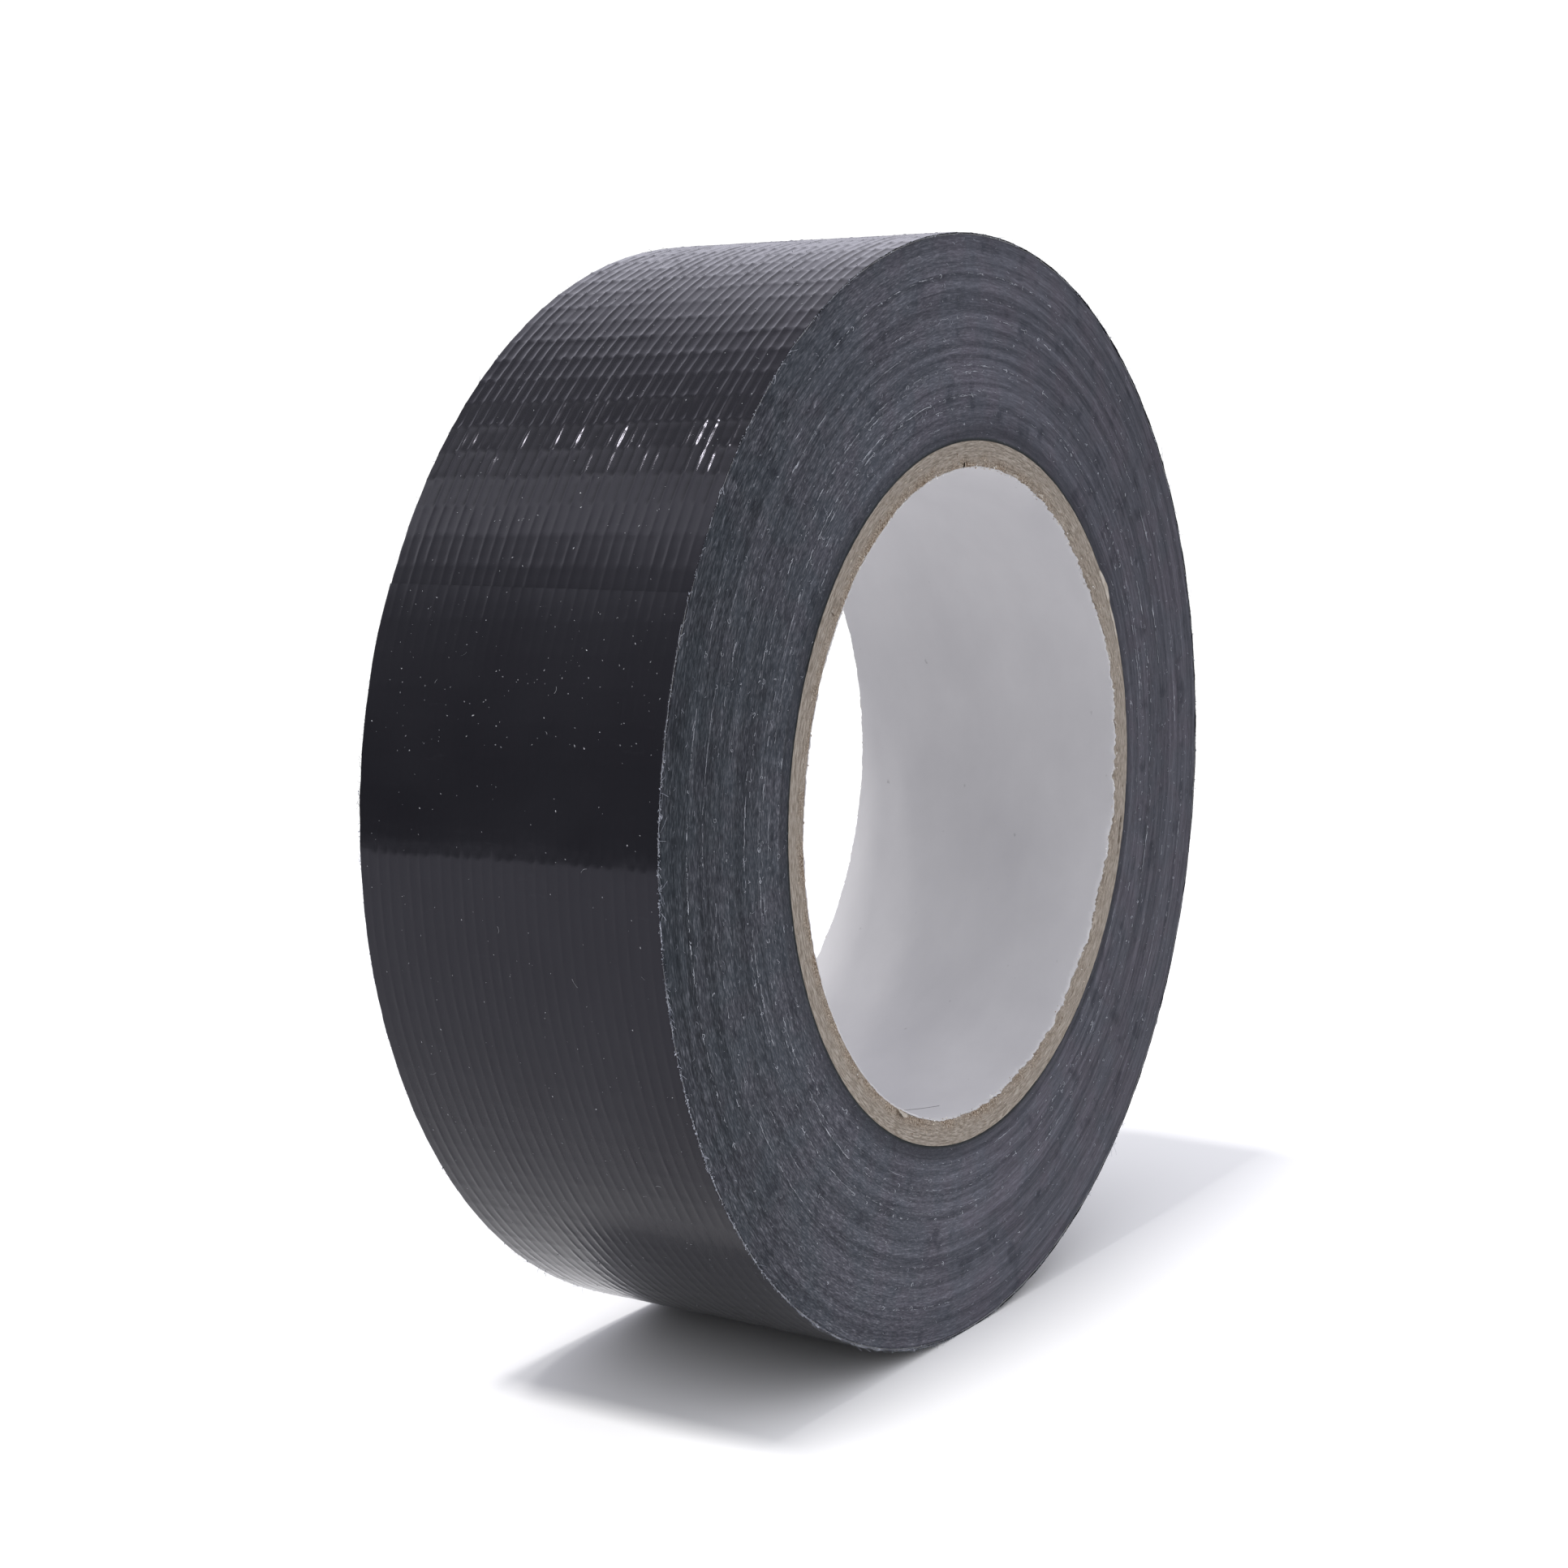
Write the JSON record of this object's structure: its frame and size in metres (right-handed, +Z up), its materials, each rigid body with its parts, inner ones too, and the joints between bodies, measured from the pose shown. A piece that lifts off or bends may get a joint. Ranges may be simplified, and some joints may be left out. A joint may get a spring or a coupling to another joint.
{
  "type": "duct tape roll",
  "caption": "Roll of black cloth-backed duct tape on a paper core, standing on its rim, with a free end that peels up.",
  "frame": {"origin": "on the floor under the middle of the roll, at the centre of the base of its bounding box", "axes": "+Z up; +Y along the roll's axis, across the tape's width; the free end is on the -X side of the rim"},
  "size_m": [0.1297, 0.038, 0.1296],
  "materials": {
    "white_liner": "satin",
    "kraft_paper": "matte",
    "tape_edge": "matte",
    "backing_film": "satin",
    "scrim_cloth": "matte",
    "adhesive": "satin"
  },
  "bodies": {
    "roll": {"core_liner": "white_liner", "core_ply_1": "kraft_paper", "core_ply_2": "kraft_paper", "core_ply_3": "kraft_paper", "core_ply_4": "kraft_paper", "core_ply_5": "kraft_paper", "tape_winding": "tape_edge", "outer_turn_film": "backing_film", "outer_turn_scrim": "scrim_cloth", "outer_turn_adhesive": "adhesive"},
    "free_end": {"free_end_film": "backing_film", "free_end_scrim": "scrim_cloth", "free_end_adhesive": "adhesive"}
  },
  "joints": [
    {"name": "free_end_peel", "type": "hinge", "parent": "roll", "child": "free_end", "pos_m": [-0.06448, 0, 0.07335], "axis": [0, -1, 0], "range_deg": [0, 110]}
  ]
}
